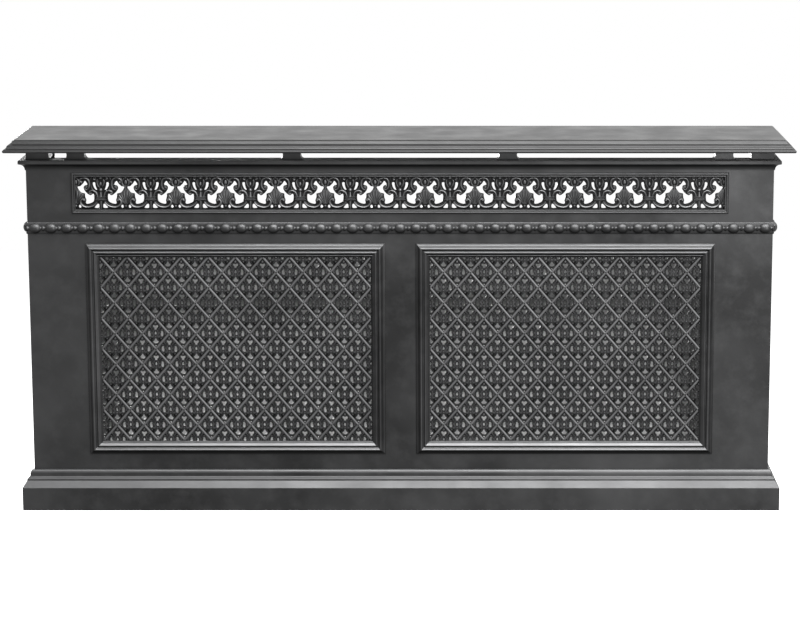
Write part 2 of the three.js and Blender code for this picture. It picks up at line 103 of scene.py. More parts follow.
def mirrored(points):
    return [(-x, z) for x, z in reversed(points)]


def symmetric(half):  # the right half of an outline, bottom to top, made whole
    return half + [(-x, z) for x, z in reversed(half) if abs(x) > 1e-6]


def blend(values, share):  # a value between the listed ones, evenly spaced
    place = share * (len(values) - 1)
    i = min(int(place), len(values) - 2)
    return values[i] + (values[i + 1] - values[i]) * (place - i)


# Solids as lists of points and faces, in millimetres

def joined(parts):
    points, faces = [], []
    for partPoints, partFaces in parts:
        start = len(points)
        points += partPoints
        faces += [tuple(start + i for i in face) for face in partFaces]
    return points, faces


def moved(part, x=0.0, y=0.0, z=0.0):
    points, faces = part
    return [(px + x, py + y, pz + z) for px, py, pz in points], faces


def flipped(part, x=1, y=1, z=1):  # mirrored along the one axis that is given as -1
    points, faces = part
    return [(px * x, py * y, pz * z) for px, py, pz in points], [tuple(reversed(face)) for face in faces]


def pair(part):  # itself and its mirror image, left to right
    return [part, flipped(part, x=-1)]


def halved(part, side):  # what lies on the other side of the middle is pressed flat against it
    points, faces = part
    return [(side * max(side * x, 0.0), y, z) for x, y, z in points], faces


def plate(loops, frontY, rearY, edge, steps=1):  # a flat casting with rounded edges; inner loops are holes
    curve = bpy.data.curves.new("plate", "CURVE")
    curve.dimensions = "2D"
    curve.fill_mode = "BOTH"
    if edge:
        curve.bevel_depth = edge
        curve.bevel_resolution = steps
        curve.offset = -edge
    curve.extrude = (rearY - frontY) / 2 - edge
    for loop in loops:
        spline = curve.splines.new("POLY")
        spline.points.add(len(loop) - 1)
        spline.points.foreach_set("co", [value for x, z in loop for value in (x, z, 0.0, 1.0)])
        spline.use_cyclic_u = True
    holder = bpy.data.objects.new("plate", curve)
    bpy.context.scene.collection.objects.link(holder)
    bpy.context.view_layer.update()
    mesh = bpy.data.meshes.new_from_object(holder.evaluated_get(bpy.context.evaluated_depsgraph_get()))
    middle = (frontY + rearY) / 2
    points = [(v.co.x, middle - v.co.z, v.co.y) for v in mesh.vertices]
    faces = [tuple(face.vertices) for face in mesh.polygons]
    bpy.data.objects.remove(holder)
    bpy.data.curves.remove(curve)
    bpy.data.meshes.remove(mesh)
    return points, faces


def ribbon(line, widths, height, baseY, sides=6, crown=1.0):  # a rib along a line; its top is flatter below crown 1
    points, faces = [], []
    last = len(line) - 1
    for i, (x, z) in enumerate(line):
        ahead, behind = line[min(i + 1, last)], line[max(i - 1, 0)]
        dx, dz = ahead[0] - behind[0], ahead[1] - behind[1]
        length = math.hypot(dx, dz) or 1.0
        across = (-dz / length, dx / length)
        width = blend(widths, i / last)
        rise = height * min(1.0, width / max(widths) + 0.25)  # thin ends lie lower
        for k in range(sides + 1):
            angle = math.pi * k / sides
            reach = width / 2 * math.copysign(abs(math.cos(angle)) ** crown, math.cos(angle))
            up = rise * max(math.sin(angle), 0.0) ** crown
            points.append((x + across[0] * reach, baseY - up, z + across[1] * reach))
    row = sides + 1
    for i in range(last):
        for k in range(row):
            a, b = i * row + k, i * row + (k + 1) % row
            faces.append((a, b, b + row, a + row))
    faces.append(tuple(reversed(range(row))))
    faces.append(tuple(last * row + k for k in range(row)))
    return points, faces


def dome(x, z, radius, height, baseY, sides=12, rings=3, stretch=1.0):
    points, faces = [], []
    for k in range(rings):
        lift = math.pi / 2 * k / rings
        for i in range(sides):
            turn = 2 * math.pi * i / sides
            points.append((x + radius * math.cos(lift) * math.cos(turn), baseY - height * math.sin(lift),
                           z + stretch * radius * math.cos(lift) * math.sin(turn)))
    points.append((x, baseY - height, z))
    for k in range(rings - 1):
        for i in range(sides):
            j = (i + 1) % sides
            faces.append((k * sides + i, k * sides + j, (k + 1) * sides + j, (k + 1) * sides + i))
    top = (rings - 1) * sides
    faces += [(top + i, top + (i + 1) % sides, len(points) - 1) for i in range(sides)]
    faces.append(tuple(reversed(range(sides))))
    return points, faces


def swept(sections):  # a solid through sections of equal point counts
    count = len(sections[0])
    points = [point for section in sections for point in section]
    faces = [tuple(range(count)), tuple(reversed(range(len(points) - count, len(points))))]
    for i in range(len(sections) - 1):
        for k in range(count):
            a, b = i * count + k, i * count + (k + 1) % count
            faces.append((a, a + count, b + count, b))
    return points, faces


def made(name, part, material, replaced=(), body="cabinet"):
    points, faces = part
    mesh = bpy.data.meshes.new(name)
    mesh.from_pydata([(x * mm, y * mm, z * mm) for x, y, z in points], [], faces)
    work = bmesh.new()
    work.from_mesh(mesh)
    bmesh.ops.recalc_face_normals(work, faces=work.faces)
    work.to_mesh(mesh)
    work.free()
    mesh.polygons.foreach_set("use_smooth", [True] * len(mesh.polygons))
    mesh.set_sharp_from_angle(angle=math.radians(sharpFrom))
    mesh.materials.append(material)
    piece = bpy.data.objects.new(name, mesh)
    bpy.context.scene.collection.objects.link(piece)
    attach(piece, body)
    if replaced:
        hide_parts(*replaced)
    return piece


# Metals. One graph serves them all: clouds and blotches, a painted highlight on the tops, painted shade on the
# undersides and a fine grain.

def grey(value):  # faintly cool
    return (value, value * 1.005, value * 1.02, 1.0)


def ironMaterial(name, look):
    material = bpy.data.materials.new(name)
    material.use_nodes = True
    tree = material.node_tree
    shader = tree.nodes["Principled BSDF"]
    place = tree.nodes.new("ShaderNodeTexCoord").outputs["Object"]

    def link(source, target):
        tree.links.new(source, target)

    def noise(scale, detail, roughness=0.5, distortion=0.0):
        node = tree.nodes.new("ShaderNodeTexNoise")
        node.inputs["Scale"].default_value = scale
        node.inputs["Detail"].default_value = detail
        node.inputs["Roughness"].default_value = roughness
        node.inputs["Distortion"].default_value = distortion
        link(place, node.inputs["Vector"])
        return node.outputs["Fac"]

    def remap(source, low, high, toLow=0.0, toHigh=1.0):
        node = tree.nodes.new("ShaderNodeMapRange")
        link(source, node.inputs["Value"])
        for key, value in (("From Min", low), ("From Max", high), ("To Min", toLow), ("To Max", toHigh)):
            node.inputs[key].default_value = value
        return node.outputs["Result"]

    def mixed(share, first, second):
        node = tree.nodes.new("ShaderNodeMix")
        node.data_type = "RGBA"
        for key, value in (("Factor", share), ("A", first), ("B", second)):
            if isinstance(value, bpy.types.NodeSocket):
                link(value, node.inputs[key])
            else:
                node.inputs[key].default_value = value
        return node.outputs["Result"]

    def bump(height, strength, depth):
        node = tree.nodes.new("ShaderNodeBump")
        node.inputs["Strength"].default_value = strength
        node.inputs["Distance"].default_value = depth
        link(height, node.inputs["Height"])
        return node

    clouds = remap(noise(look["cloudScale"], 3.0, 0.55, 0.4), 0.35, 0.68)
    colour = mixed(clouds, grey(look["dark"]), grey(look["light"]))
    blotches = remap(noise(look["cloudScale"] * 9, 4.0, 0.6), 0.45, 0.75, 0.0, look["blotch"])
    colour = mixed(blotches, colour, grey(look["light"] * 1.35))
    facing = tree.nodes.new("ShaderNodeSeparateXYZ")
    link(tree.nodes.new("ShaderNodeNewGeometry").outputs["Normal"], facing.inputs[0])
    # painted highlight: faces that turn up are lighter, as light from above would make them
    colour = mixed(remap(facing.outputs["Z"], *look["tops"]), colour, grey(look["topHighlight"]))
    # painted shade: faces that turn down are darker
    colour = mixed(remap(facing.outputs["Z"], *look["undersides"]), colour, grey(look["undersideShade"]))
    if "groundShadeFrom" in look:  # painted shade: darker from the crests down into the ground, with a plain back
        split = tree.nodes.new("ShaderNodeSeparateXYZ")
        link(place, split.inputs[0])
        crest = remap(split.outputs["Y"], look["groundShadeFrom"], look["groundShadeTo"])
        colour = mixed(crest, grey(look["ground"]), colour)
        colour = mixed(remap(facing.outputs["Y"], 0.3, 0.7), colour, grey(look["back"]))
    link(colour, shader.inputs["Base Color"])
    link(remap(noise(look["cloudScale"] * 5, 4.0), 0.3, 0.7, look["roughLow"], look["roughHigh"]),
         shader.inputs["Roughness"])
    for key, value in (("Metallic", look["metallic"]), ("Specular IOR Level", look["specular"]),
                       ("Coat Weight", look["coat"]), ("Coat Roughness", look["coatRough"])):
        shader.inputs[key].default_value = value
    grain = bump(noise(look["grainScale"], 5.0, 0.65), look["grain"], look["grainDepth"])
    swell = bump(noise(look["swellScale"], 2.0), look["swell"], look["swellDepth"])
    link(grain.outputs["Normal"], swell.inputs["Normal"])
    link(swell.outputs["Normal"], shader.inputs["Normal"])
    return material


castLook = {
    "cloudScale": 2.6, "dark": 0.017, "light": 0.042, "blotch": 0.35,
    "topHighlight": 0.085, "tops": (0.12, 0.65),  # the normal's z, from which and to which the tops get the painted highlight
    # painted shade on the undersides, down to this colour
    "undersideShade": 0.006, "undersides": (-0.05, -0.55), "back": 0.042,
    "roughLow": 0.36, "roughHigh": 0.52, "metallic": 0.75, "specular": 0.2, "coat": 0.06, "coatRough": 0.3,
    "grain": 0.35, "grainScale": 650.0, "grainDepth": 0.0004, "swell": 0.12, "swellScale": 38.0, "swellDepth": 0.002}
castIron = ironMaterial("cast_iron_burnished", castLook)
# painted shade: a darker copy of the cast iron for the shelf, with almost no painted top highlight
shelfIron = ironMaterial("cast_iron_shelf", {
    **castLook, "dark": 0.016, "light": 0.024, "topHighlight": 0.016, "roughLow": 0.34, "swell": 0.02, "coat": 0.42})
# a lighter copy of the cast iron: painted highlight on the crests, painted shade nearly black in the ground
grilleIron = ironMaterial("cast_iron_lattice", {
    **castLook, "dark": 0.07, "light": 0.114, "topHighlight": 0.085, "ground": 0.001,
    "groundShadeFrom": (faceY + 2.7) * mm, "groundShadeTo": (faceY - 0.1) * mm,
    "roughLow": 0.42, "roughHigh": 0.58, "cloudScale": 4.0, "grain": 0.25})
# a copy of the cast iron with a stronger painted top highlight and painted shade in the ground
frameIron = ironMaterial("cast_iron_frame", {
    **castLook, "dark": 0.022, "light": 0.05, "topHighlight": 0.14, "ground": 0.008,
    "groundShadeFrom": (faceY - 1.0) * mm, "groundShadeTo": (faceY - 6.5) * mm})
# a lighter copy of the cast iron: painted highlight on the crests, painted shade in the ground
fretIron = ironMaterial("cast_iron_fret", {
    **castLook, "dark": 0.07, "light": 0.11, "topHighlight": 0.15, "ground": 0.008,
    "groundShadeFrom": (faceY + 2.0) * mm, "groundShadeTo": (faceY - 2.4) * mm, "cloudScale": 4.0, "grain": 0.25})
blackSteel = ironMaterial("black_painted_steel", {
    **castLook, "dark": 0.02, "light": 0.035, "topHighlight": 0.04, "metallic": 0.1, "specular": 0.5,
    "roughLow": 0.42, "roughHigh": 0.6, "swell": 0.05})
zincSteel = ironMaterial("zinc_plated_steel", {
    **castLook, "dark": 0.42, "light": 0.55, "topHighlight": 0.5, "undersideShade": 0.3, "metallic": 0.95,
    "roughLow": 0.3, "roughHigh": 0.45, "swell": 0.02, "cloudScale": 40.0, "grain": 0.1})
print("metals made")

# CAD nodes carried over: welded, softly bevelled and given their metal

dressing = {"weld": 0.00002, "bevelFrom": 28.0, "segments": 2,
            "bevel": {"cast_iron": 0.9, "grille_iron": 0.5, "black_steel": 0.4, "zinc_steel": 0.35},
            "metal": {"cast_iron": castIron, "grille_iron": grilleIron, "black_steel": blackSteel,
                      "zinc_steel": zincSteel},
            "ownMetal": {"shelf": shelfIron, "panel_frame_left": frameIron, "panel_frame_right": frameIron}}


def dress(name):
    node = nodes[name]
    mesh = node.data
    if mesh.has_custom_normals:
        mesh.attributes.remove(mesh.attributes["custom_normal"])
    mesh.polygons.foreach_set("use_smooth", [True] * len(mesh.polygons))
    mesh.materials.clear()
    mesh.materials.append(dressing["ownMetal"].get(name, dressing["metal"][slotOf[name]]))
    weld = node.modifiers.new("weld", "WELD")
    weld.merge_threshold = dressing["weld"]
    soften = node.modifiers.new("soften", "BEVEL")
    soften.limit_method = "ANGLE"
    soften.angle_limit = math.radians(dressing["bevelFrom"])
    soften.width = dressing["bevel"][slotOf[name]] * mm
    soften.segments = dressing["segments"]
    soften.use_clamp_overlap = True
    even = node.modifiers.new("even", "WEIGHTED_NORMAL")
    even.keep_sharp = False


for name in nodes:
    dress(name)
print("CAD nodes dressed:", len(nodes))

# Lattice grilles. Points are from the middle of one diamond cell. Bars cross at its corners, and a pierced
# leaf ornament fills it.

lattice = {
    "cellWidth": 66.8, "cellHeight": 77.5,  # as drawn; whole cells are fitted to the window
    "hidden": 7.0,  # of each edge, under the frame's lip
    "ground": 3.6, "leaf": 2.2, "rim": 0.6,  # depths behind the front panel's face
    "barWidth": 6.6, "barCrown": 0.6, "holeShare": 0.93, "rimShareX": 1.26, "rimShareZ": 1.18, "rimWidth": 2.0,
    "bedShare": 0.97, "ribWidths": [1.8, 3.0, 1.4],
}
cell = {
    "tulipHole": symmetric([(0, 10), (2.6, 10.5), (3.2, 14.5), (5.6, 16.5), (6.9, 19.5), (6.0, 22.2), (3.2, 22.4),
                            (0, 21.2)]),
    "kidneyHole": [(12.4, -5.6), (15.6, -7.2), (18.8, -5.0), (19.4, 0.0), (18.8, 4.4), (16.2, 8.0), (13.0, 6.8),
                   (13.2, 3.2), (12.2, 0.4)],
    "keyHole": symmetric([(0, -2.4), (2.4, -1.6), (2.2, 2.0), (1.3, 4.6), (0, 5.4)]),
    "spadeHole": symmetric([(0, -24.6), (3.4, -24.2), (6.6, -21.6), (6.8, -18.6), (4.4, -17.2), (2.6, -14.6),
                            (1.6, -12.2), (0, -11.0)]),
    "ringHole": ring(0, -30.2, 1.7, 8),
    "leaf": symmetric([
        (0, -35.0), (2.6, -33.6), (4.0, -30.4), (3.6, -27.6), (7.2, -25.4), (9.2, -21.6), (9.0, -17.6), (6.6, -14.8),
        (6.2, -11.6), (10.0, -10.2), (15.8, -11.2), (20.8, -9.4), (23.6, -3.4), (24.0, 3.2), (21.0, 8.6),
        (15.8, 12.2), (9.6, 10.8), (6.2, 12.2), (8.6, 15.0), (9.8, 19.2), (8.6, 23.4), (4.6, 25.4), (0, 24.6)]),
    "ribs": ([(2.0, -33.4), (9.0, -24.5), (16.5, -16.0), (21.0, -12.4)],
             [(7.8, 11.6), (12.6, 17.2), (12.2, 22.6)],
             [(5.2, 5.6), (6.4, 0.6), (4.8, -5.4), (7.2, -9.6)],
             [(21.6, 9.4), (25.2, 3.6), (25.4, -4.0)]),
    "bosses": ((9.2, 2.6, 2.2), (8.8, -7.0, 2.4), (16.0, 11.4, 2.2), (11.8, 20.4, 2.6), (23.6, -0.6, 2.0),
               (13.6, -12.0, 2.2), (5.0, 7.6, 2.0)),  # x, z and radius
    "middleBosses": ((27.0, 3.0, 2.0, 1.3), (-7.2, 2.4, 1.8, 1.2)),  # z, radius, height and stretch
}


def latticeCell(stepX, stepZ):  # half the cell's width and height
    groundY, leafY = faceY + lattice["ground"], faceY + lattice["leaf"]
    rimRise = lattice["leaf"] - lattice["rim"]
    stretchX, stretchZ = stepX / (lattice["cellWidth"] / 2), stepZ / (lattice["cellHeight"] / 2)

    def fit(loop):
        return [(x * stretchX, z * stretchZ) for x, z in loop]

    kidney = fit(cell["kidneyHole"])
    holes = [fit(cell["tulipHole"]), fit(cell["spadeHole"]), rounded(kidney, 2), rounded(mirrored(kidney), 2)]
    holes = [shrunk(loop, lattice["holeShare"], lattice["holeShare"]) for loop in holes]
    diamond = [(stepX, 0), (0, stepZ), (-stepX, 0), (0, -stepZ)]
    bed = [(lattice["bedShare"] * x, lattice["bedShare"] * z) for x, z in fit(cell["leaf"])]
    parts = [plate([diamond, bed], groundY, backY, 0),
             plate([fit(cell["leaf"])] + holes + [fit(cell["keyHole"]), fit(cell["ringHole"])], leafY, backY, 0)]
    for loop in holes:  # a raised rim round each hole
        rim = shrunk(loop, lattice["rimShareX"], lattice["rimShareZ"])
        parts.append(ribbon(rim + rim[:1], [lattice["rimWidth"], lattice["rimWidth"]], rimRise, leafY, 2))
    for rib in cell["ribs"]:
        parts += pair(ribbon(fit(rib), lattice["ribWidths"], rimRise + 0.2, leafY + 0.2, 3))
    for x, z, radius in cell["bosses"]:
        parts += pair(dome(x * stretchX, z * stretchZ, radius, rimRise + 0.3, leafY + 0.1, 6, 2))
    for z, radius, height, stretch in cell["middleBosses"]:
        parts.append(dome(0, z * stretchZ, radius, height, leafY + 0.1, 8, 2, stretch))
    return joined(parts)


def latticeBars(left, bottom, right, stepX, stepZ, across, up):  # both slopes, past the window's edges
    reach = 2 * (across + up) + 2
    parts = []
    for i in range(-reach, reach + 1, 2):
        for slope in (1, -1):
            line = [(left + (i + slope * k) * stepX, bottom + k * stepZ) for k in range(-1, 2 * up + 2)]
            line = [p for p in line if left - 2 * stepX < p[0] < right + 2 * stepX]
            if len(line) > 1:
                parts.append(ribbon(line, [lattice["barWidth"], lattice["barWidth"]], lattice["ground"],
                                    faceY + lattice["ground"], 5, lattice["barCrown"]))
    return parts


def latticeGrille(side):
    low, high = [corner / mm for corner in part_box(f"lattice_grille_{side}")]
    left, right = low.x + lattice["hidden"], high.x - lattice["hidden"]
    bottom, top = low.z + lattice["hidden"], high.z - lattice["hidden"]
    across, up = round((right - left) / lattice["cellWidth"]), round((top - bottom) / lattice["cellHeight"])
    stepX, stepZ = (right - left) / across / 2, (top - bottom) / up / 2
    unit = latticeCell(stepX, stepZ)
    parts = []
    for i in range(-1, 2 * across + 2):
        for j in range(-1, 2 * up + 2):
            if (i + j) % 2:
                parts.append(moved(unit, left + i * stepX, 0, bottom + j * stepZ))
    parts += latticeBars(left, bottom, right, stepX, stepZ, across, up)
    grille = made(f"lattice_casting_{side}", joined(parts), grilleIron, [f"lattice_grille_{side}"])
    work = bmesh.new()  # trimmed to the grille's own box
    work.from_mesh(grille.data)
    for corner, normal in ((low, (-1, 0, 0)), (high, (1, 0, 0)), (low, (0, 0, -1)), (high, (0, 0, 1))):
        bmesh.ops.bisect_plane(work, geom=work.verts[:] + work.edges[:] + work.faces[:], dist=1e-6,
                               plane_co=Vector(corner) * mm, plane_no=normal, clear_outer=True)
    work.to_mesh(grille.data)
    work.free()
    grille.data.set_sharp_from_angle(angle=math.radians(sharpFrom))
    print(grille.name, "faces:", len(grille.data.polygons))


for side in ("left", "right"):
    latticeGrille(side)

# Frieze fret. Points are from the middle of one unit's stalk and the lower edge of the opening.

fret = {"unitWidth": 122.5,  # as drawn; whole units are fitted to the opening
        "rim": 4.5,  # of the fret's plate, round the opening
        "ground": 2.4, "lift": 0.4,  # the pierced plate lies back, and the scrolls' foot is in front of it
        "relief": 1.5, "edge": 0.5}
gaps = {
    "scroll": [(38, 69.5), (34.5, 65), (33, 61), (35.5, 59.2), (39, 58.5), (42, 55), (41.5, 49), (36.5, 41.5),
               (30, 36), (25, 34), (20.5, 37.4), (17.6, 37), (16.8, 30), (18, 20.5), (23, 16), (30, 13.4), (36, 13),
               (37.6, 17), (36.5, 22), (38.5, 28), (39.4, 34), (39.6, 38.2), (44, 39.5), (49, 41), (53, 46),
               (57.2, 52.6), (56.2, 56), (51, 56.5), (47, 60), (43, 64), (40.4, 68.6)],
    "crescent": [(14, 66.2), (19, 66), (19.6, 61.6), (17.4, 54.4), (13.4, 48.4), (9.2, 47.8), (11.4, 53),
                 (13.4, 60)],
    "stalk": [(5.4, 3), (5.4, 12), (9, 12.6), (12.6, 8.6), (16, 4.4), (15, 2.8)],
    "foot": ring(52, 6.6, 3.0, 10, 1.3),
}
opening = {"bottom": frieze["low"].z + fret["rim"], "half": -frieze["low"].x - fret["rim"]}
units = round(2 * opening["half"] / fret["unitWidth"])
unitPitch = 2 * opening["half"] / units
scrollY = faceY + fret["ground"] - fret["lift"]


def raised(parts):
    points, faces = joined(parts)
    return [(x, scrollY + (y - scrollY) * fret["relief"], z) for x, y, z in points], faces


def fretUnit():
    parts = []

    def scroll(points, widths, height, steps=4, sides=6):
        parts.extend(pair(ribbon(rounded(points, steps, False), widths, height, scrollY, sides)))

    # upper C-scroll, from the hook over the top and down to the eye
    scroll([(47.2, 66.6), (50.6, 69.6), (49.2, 74.2), (44.6, 76.9), (38.6, 77.6), (32.4, 75.2), (28.4, 69.6),
            (27.4, 62.0), (28.6, 54.6), (32.6, 48.8)], [3.5, 5.4, 6.0, 6.0, 5.4, 5.6, 4.0], 3.4)
    parts.extend(pair(dome(47.6, 66.8, 3.6, 3.4, scrollY)))
    scroll([(33.4, 48.4), (37.6, 49.4), (38.8, 53.4), (36.0, 56.6), (32.8, 55.4)], [3.6, 3.8, 2.6], 2.6)
    parts.extend(pair(dome(35.4, 53.6, 2.6, 2.6, scrollY, 10)))
    # middle scroll
    scroll([(7.6, 31.5), (9.4, 37.6), (13.0, 43.0), (19.4, 46.2), (25.6, 44.4), (28.2, 40.2), (26.0, 36.6)],
           [4.4, 5.4, 5.6, 5.0, 3.6], 3.2)
    parts.extend(pair(dome(24.6, 38.4, 3.2, 3.0, scrollY)))
    # lower scroll, broad and bright
    scroll([(9.6, 18.6), (13.2, 13.2), (19.4, 8.2), (28.6, 5.4), (37.4, 5.4), (45.0, 8.6), (49.6, 14.6), (49.2, 20.8),
            (44.6, 25.2), (40.4, 24.4)], [4.4, 6.4, 7.2, 6.8, 6.0, 4.6], 3.8)
    parts.extend(pair(dome(41.4, 22.0, 3.4, 3.2, scrollY)))
    scroll([(12.6, 19.0), (17.6, 14.0), (24.0, 11.0), (32.0, 9.8)], [1.2, 1.8, 1.0], 3.2, 3, 4)
    # collar on the stalk
    for z, half, wide in ((23.4, 13.2, 3.4), (26.8, 11.6, 3.0), (30.2, 12.6, 3.2)):
        parts.append(ribbon([(-half, z), (-half * 0.5, z), (0, z), (half * 0.5, z), (half, z)],
                            [wide * 0.7, wide, wide * 0.7], 3.6, scrollY, 6))
    # stalk, knob and lower stalk
    parts.append(ribbon([(0, 31.0), (0, 38.0), (0, 44.0)], [8.6, 6.2, 5.4], 2.8, scrollY, 8))
    parts.extend(pair(ribbon([(3.0, 31.5), (4.4, 37.0), (4.0, 43.0)], [2.0, 1.8, 1.0], 3.4, scrollY, 4)))
    parts.append(dome(0, 47.6, 4.8, 4.0, scrollY, 14, 4, 1.15))
    parts.append(ribbon([(0, 0.0), (0, 8.0), (0, 20.0)], [3.2, 4.2, 6.4], 2.2, scrollY, 6))
    # tulip with three petals, and the bright lobes above
    scroll([(1.6, 53.0), (5.4, 57.0), (8.0, 63.0), (8.6, 70.0), (6.4, 74.0)], [2.0, 4.0, 4.6, 2.4], 3.2, 3)
    scroll([(1.0, 54.0), (3.0, 60.0), (4.6, 66.6), (6.6, 72.4)], [1.4, 2.6, 1.4], 2.6, 3, 4)
    parts.append(dome(0, 62.0, 3.2, 2.6, scrollY, 10, 3, 2.2))
    parts.append(dome(0, 77.2, 4.8, 3.8, scrollY, 14, 3, 0.68))
    scroll([(12.6, 72.6), (16.6, 75.2), (14.6, 78.6), (11.6, 77.0)], [4.4, 4.8, 3.2], 3.4, 3)
    # leaf curls between the scroll and the rim
    scroll([(21.4, 78.6), (24.2, 74.6), (24.8, 69.6)], [3.0, 3.2, 1.4], 1.6, 3, 4)
    scroll([(17.6, 44.8), (21.4, 50.4), (23.4, 58.0), (23.6, 66.0)], [3.2, 3.4, 1.6], 1.8, 3, 4)
    scroll([(9.4, 31.6), (12.4, 35.6), (15.6, 39.4)], [3.0, 2.4, 1.2], 1.6, 3, 4)
    return raised(parts)


def palmette():  # between two units, with a bud and its trefoil tip above
    shellY = scrollY - 0.8
    parts = [plate([rounded(symmetric([
        (0, 13.0), (5.6, 14.2), (9.4, 20.4), (13.6, 27.4), (18.6, 31.4), (19.0, 36.0), (14.2, 39.0), (9.6, 42.6),
        (7.4, 46.8), (3.4, 48.6), (0, 47.4)]), 3)], scrollY - 1.6, scrollY + 0.6, 0.7, 1)]
    for line, widths, height in (
            ([(1.2, 17.0), (2.4, 28.0), (3.6, 38.0), (3.4, 46.0)], [2.0, 4.0, 6.0, 3.6], 3.2),
            ([(2.4, 17.0), (5.8, 26.0), (9.2, 34.0), (9.6, 40.6)], [1.6, 3.2, 5.0, 2.6], 2.6),
            ([(3.4, 16.6), (8.4, 23.4), (13.0, 30.0), (16.4, 35.6)], [1.6, 3.4, 5.4, 3.0], 2.8),
            ([(4.6, 16.0), (9.6, 20.6), (14.6, 26.2), (18.2, 30.6)], [1.2, 2.2, 3.0, 1.6], 2.0)):
        parts += pair(ribbon(rounded(line, 3, False), widths, height, shellY, 6))
    parts.append(ribbon([(0, 15.5), (0, 24.0), (0, 31.0)], [3.6, 3.0, 1.0], 2.2, shellY, 6))
    parts.append(dome(0, 8.0, 3.0, 3.2, scrollY, 12, 3, 1.1))
    parts.append(ribbon([(0, 48.0), (0, 54.0), (0, 60.0)], [4.6, 4.0, 7.0], 2.2, scrollY, 6))
    parts += pair(ribbon(rounded([(1.4, 55.0), (6.0, 59.6), (8.8, 66.0), (6.4, 72.6), (2.0, 76.0)], 3, False),
                         [2.4, 4.4, 4.8, 3.6, 2.0], 2.4, scrollY, 6))
    parts.append(dome(0, 66.0, 4.4, 1.8, scrollY, 12, 3, 1.7))
    parts.append(dome(0, 78.0, 3.0, 2.8, scrollY, 12))
    parts += pair(dome(4.4, 75.4, 2.2, 2.0, scrollY, 10))
    parts += pair(ribbon(rounded([(9.4, 74.0), (12.6, 78.4), (17.6, 80.2)], 3, False), [3.6, 3.2, 1.6], 1.8,
                         scrollY, 4))
    return raised(parts)


def friezeFret():
    low, high = frieze["low"], frieze["high"]
    stretch = unitPitch / fret["unitWidth"]
    holes, parts = [], []
    unit, shell = fretUnit(), palmette()
    for i in range(units):
        stalk = -opening["half"] + (i + 0.5) * unitPitch
        for gap in gaps.values():
            loop = [(x * stretch, z) for x, z in rounded(gap, 2)]
            for half in (loop, mirrored(loop)):
                holes.append([(stalk + x, opening["bottom"] + z) for x, z in half])
        parts.append(moved(unit, stalk, 0, opening["bottom"]))
        if i:
            parts.append(moved(shell, stalk - unitPitch / 2, 0, opening["bottom"]))
    for side in (-1, 1):  # half a palmette at each end
        parts.append(moved(halved(shell, -side), side * opening["half"], 0, opening["bottom"]))
    rim = [(low.x, low.z), (high.x, low.z), (high.x, high.z), (low.x, high.z)]
    parts.append(plate([rim] + holes, faceY + fret["ground"], backY, fret["edge"], 1))
    casting = made("frieze_fret_casting", joined(parts), fretIron, ["frieze_fret"])
    print(casting.name, "faces:", len(casting.data.polygons))


friezeFret()


# Ridges round the frieze's raised border, and a fine bead halfway down each panel frame's slope to its lattice

def ridgeRound(low, high, out, width, height, baseY):  # round a rectangle, with ends that cross at the corners
    corners = [(low.x - out, low.z - out), (high.x + out, low.z - out), (high.x + out, high.z + out),
               (low.x - out, high.z + out)]
    parts = []
    for i in range(4):
        (ax, az), (bx, bz) = corners[i], corners[(i + 1) % 4]
        past = 0.4 * width / 2 / math.hypot(bx - ax, bz - az)
        ends = [(ax + (bx - ax) * t, az + (bz - az) * t) for t in (-past, 1 + past)]
        parts.append(ribbon(ends, [width, width], height, baseY, 8))
    return parts


border = {"outside": 5.5, "rise": 6.0, "sunk": 0.1,
          "ridges": ((2.7, 4.6, 2.4), (7.8, 3.2, 1.8))}  # inset, width and height
slopeBead = {"inset": 30.0, "width": 3.0, "height": 2.9, "base": 3.6}

ridges = []
for inset, width, height in border["ridges"]:
    ridges += ridgeRound(frieze["low"], frieze["high"], border["outside"] - inset, width, height,
                         faceY - border["rise"] + border["sunk"])
made("frieze_border_ridges", joined(ridges), castIron)
for side in ("left", "right"):
    low, high = [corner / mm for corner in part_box(f"panel_frame_{side}")]
    ridges = ridgeRound(low, high, -slopeBead["inset"], slopeBead["width"], slopeBead["height"],
                        faceY - slopeBead["base"])
    made(f"panel_frame_{side}_bead", joined(ridges), castIron)
print("border ridges and frame beads made")

# Bead rails: a band between two fillets, with long beads and small reels strung along it

railLow, railHigh = [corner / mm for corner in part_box("bead_rail_front")]
bead = {"pitch": 39.0, "half": 14.0, "radius": 9.0, "fullness": 2.4, "tall": 1.4, "reelHalf": 3.4, "reelRadius": 5.0,
        "string": 3.2, "centre": 4.0, "sides": 14, "steps": 18}
band = {"rise": 2.6, "flat": 2.2, "shoulderRise": 1.6, "shoulder": 0.5, "mitre": 0.4}  # from the rail's edges
bodyHalf = -panelLow.x
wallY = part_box("side_panel_left")[1].y / mm


def beadRadius(s, pitch):  # the string's radius at a distance from a bead's middle
    s = abs((s + pitch / 2) % pitch - pitch / 2)
    if s < bead["half"]:
        return max(bead["string"], bead["radius"] * (1 - (s / bead["half"]) ** bead["fullness"]) ** 0.5)
    away = abs(s - pitch / 2)
    return max(bead["string"], bead["reelRadius"] * max(0.0, 1 - (away / bead["reelHalf"]) ** 2) ** 0.5)


def beadString(length):  # along +x from 0, rising towards -y
    count = round(length / bead["pitch"])
    pitch = length / count
    steps = count * bead["steps"]
    sections = []
    for i in range(steps + 1):
        s = length * i / steps
        radius = beadRadius(s - pitch / 2, pitch)
        angles = [math.pi * k / bead["sides"] for k in range(bead["sides"] + 1)]
        sections.append([(s, -bead["centre"] - radius * math.sin(angle), bead["tall"] * radius * math.cos(angle))
                         for angle in angles])
    return swept(sections)


